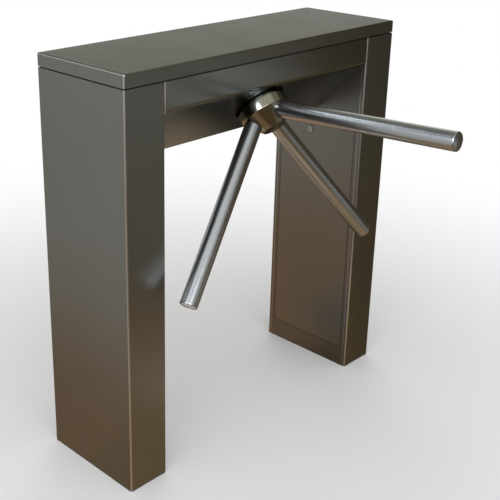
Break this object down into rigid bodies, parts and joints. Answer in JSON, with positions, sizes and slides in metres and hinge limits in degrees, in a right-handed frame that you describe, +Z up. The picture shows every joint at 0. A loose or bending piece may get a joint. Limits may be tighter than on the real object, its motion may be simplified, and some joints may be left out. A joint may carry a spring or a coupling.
{
  "type": "tripod turnstile",
  "caption": "Waist-high tripod turnstile: a bridge cabinet of satin steel on legs, with a sloped front that carries a hub of turning arms, a hinged lid and access doors in the legs.",
  "frame": {"origin": "on the floor, midway between the legs and midway between the cabinet's front and back", "axes": "+Z up; +X along the cabinet from left to right seen from the passage; the arms stand out towards -Y"},
  "size_m": [0.932, 0.7789, 1],
  "materials": {
    "satin_steel": "brushed stainless sheet, satin",
    "polished_steel": "polished stainless tube and casting",
    "black_plastic": "moulded black plastic",
    "black_steel": "matt black paint",
    "black_rubber": "foam rubber",
    "plated_steel": "zinc plated",
    "machined_steel": "machined and oiled",
    "lock_chrome": "bright plating",
    "pinion_brass": "cut brass",
    "damper_black": "black anodised",
    "coil_black": "lacquered iron frame and wound coil",
    "board_green": "lacquered circuit board",
    "supply_grey": "ventilated case"
  },
  "bodies": {
    "cabinet": {"right_leg_shell": "satin_steel", "left_leg_shell": "satin_steel", "right_base_plate": "plated_steel", "left_base_plate": "plated_steel", "beam_front_panel": "satin_steel", "beam_back_panel": "satin_steel", "lid_rim": "black_steel", "lid_seal": "black_rubber", "hinge_body_leaves": "plated_steel", "mechanism_plate": "plated_steel", "bearing_housing": "machined_steel", "bearing_outer_rings": "machined_steel", "damper_body": "damper_black", "lock_solenoids": "coil_black", "solenoid_stands": "plated_steel", "pivot_posts": "plated_steel", "position_sensor": "black_plastic", "right_bracket": "plated_steel", "left_bracket": "plated_steel", "plate_bolts": "plated_steel", "housing_bolts": "plated_steel", "bracket_screws": "plated_steel", "control_board": "board_green", "board_standoffs": "plated_steel", "power_supply": "supply_grey"},
    "rotor": {"hub": "polished_steel", "hub_bolt": "plated_steel", "hub_nose_plug": "polished_steel", "arm_1": "polished_steel", "arm_2": "polished_steel", "arm_3": "polished_steel", "arm_cap_1": "black_plastic", "arm_cap_2": "black_plastic", "arm_cap_3": "black_plastic", "arm_spigots": "machined_steel", "main_shaft": "machined_steel", "bearing_inner_rings": "machined_steel", "drive_gear": "machined_steel", "index_disc": "machined_steel", "star_cam": "machined_steel", "code_disc": "machined_steel", "shaft_nut": "plated_steel"},
    "damper_rotor": {"damper_pinion": "pinion_brass", "damper_spindle": "machined_steel"},
    "lid": {"lid": "satin_steel", "hinge_lid_leaves": "plated_steel"},
    "left_door": {"left_door": "satin_steel", "left_lock_barrel": "lock_chrome"},
    "right_door": {"right_door": "satin_steel", "right_lock_barrel": "lock_chrome"},
    "left_lock": {"left_lock_plug": "lock_chrome", "left_lock_cam": "lock_chrome"},
    "right_lock": {"right_lock_plug": "lock_chrome", "right_lock_cam": "lock_chrome"},
    "entry_pawl": {"entry_pawl": "machined_steel"},
    "exit_pawl": {"exit_pawl": "machined_steel"},
    "entry_plunger": {"entry_plunger": "machined_steel"},
    "exit_plunger": {"exit_plunger": "machined_steel"},
    "centring_lever": {"centring_lever": "machined_steel"},
    "centring_roller": {"centring_roller": "machined_steel"}
  },
  "joints": [
    {"name": "rotor_spin", "type": "hinge", "parent": "cabinet", "child": "rotor", "pos_m": [0, -0.09506, 0.85185], "axis": [0, -0.6947, -0.7193], "continuous": true},
    {"name": "damper_spin", "type": "hinge", "parent": "cabinet", "child": "damper_rotor", "pos_m": [0, -0.03752, 0.79627], "axis": [0, -0.6947, -0.7193], "continuous": true},
    {"name": "lid_hinge", "type": "hinge", "parent": "cabinet", "child": "lid", "pos_m": [0, 0.1506, 0.9685], "axis": [-1, 0, 0], "range_deg": [0, 90]},
    {"name": "left_door_tilt", "type": "hinge", "parent": "cabinet", "child": "left_door", "pos_m": [-0.355, 0, 0.0582], "axis": [0, 1, 0], "range_deg": [0, 15]},
    {"name": "left_lock_turn", "type": "hinge", "parent": "left_door", "child": "left_lock", "pos_m": [-0.355, 0.023, 0.68905], "axis": [1, 0, 0], "range_deg": [0, 90]},
    {"name": "right_door_tilt", "type": "hinge", "parent": "cabinet", "child": "right_door", "pos_m": [0.355, 0, 0.0582], "axis": [0, -1, 0], "range_deg": [0, 15]},
    {"name": "right_lock_turn", "type": "hinge", "parent": "right_door", "child": "right_lock", "pos_m": [0.355, 0.023, 0.68905], "axis": [1, 0, 0], "range_deg": [0, 90]},
    {"name": "entry_pawl_swing", "type": "hinge", "parent": "cabinet", "child": "entry_pawl", "pos_m": [-0.07793, -0.02058, 0.91894], "axis": [0, 0.6947, 0.7193], "range_deg": [0, 9.5], "stiffness_Nm_per_rad": 0.4, "springref_deg": -28.65},
    {"name": "entry_plunger_slide", "type": "slide", "parent": "cabinet", "child": "entry_plunger", "axis": [-1, 0, 0], "range_m": [0, 0.005]},
    {"name": "exit_pawl_swing", "type": "hinge", "parent": "cabinet", "child": "exit_pawl", "pos_m": [0.07793, -0.02058, 0.91894], "axis": [0, -0.6947, -0.7193], "range_deg": [0, 9.5], "stiffness_Nm_per_rad": 0.4, "springref_deg": -28.65},
    {"name": "exit_plunger_slide", "type": "slide", "parent": "cabinet", "child": "exit_plunger", "axis": [1, 0, 0], "range_m": [0, 0.005]},
    {"name": "centring_lever_swing", "type": "hinge", "parent": "cabinet", "child": "centring_lever", "pos_m": [0.055, 0.02545, 0.9002], "axis": [0, 0.6947, 0.7193], "range_deg": [0, 7.6]},
    {"name": "centring_roller_spin", "type": "hinge", "parent": "centring_lever", "child": "centring_roller", "pos_m": [0, 0.01955, 0.89409], "axis": [0, -0.6947, -0.7193], "continuous": true}
  ],
  "couplings": [
    {"joint": "damper_spin", "follows": "rotor_spin", "ratio": -3},
    {"joint": "entry_plunger_slide", "follows": "entry_pawl_swing", "m_per_rad": 0.03},
    {"joint": "exit_plunger_slide", "follows": "exit_pawl_swing", "m_per_rad": 0.03}
  ]
}
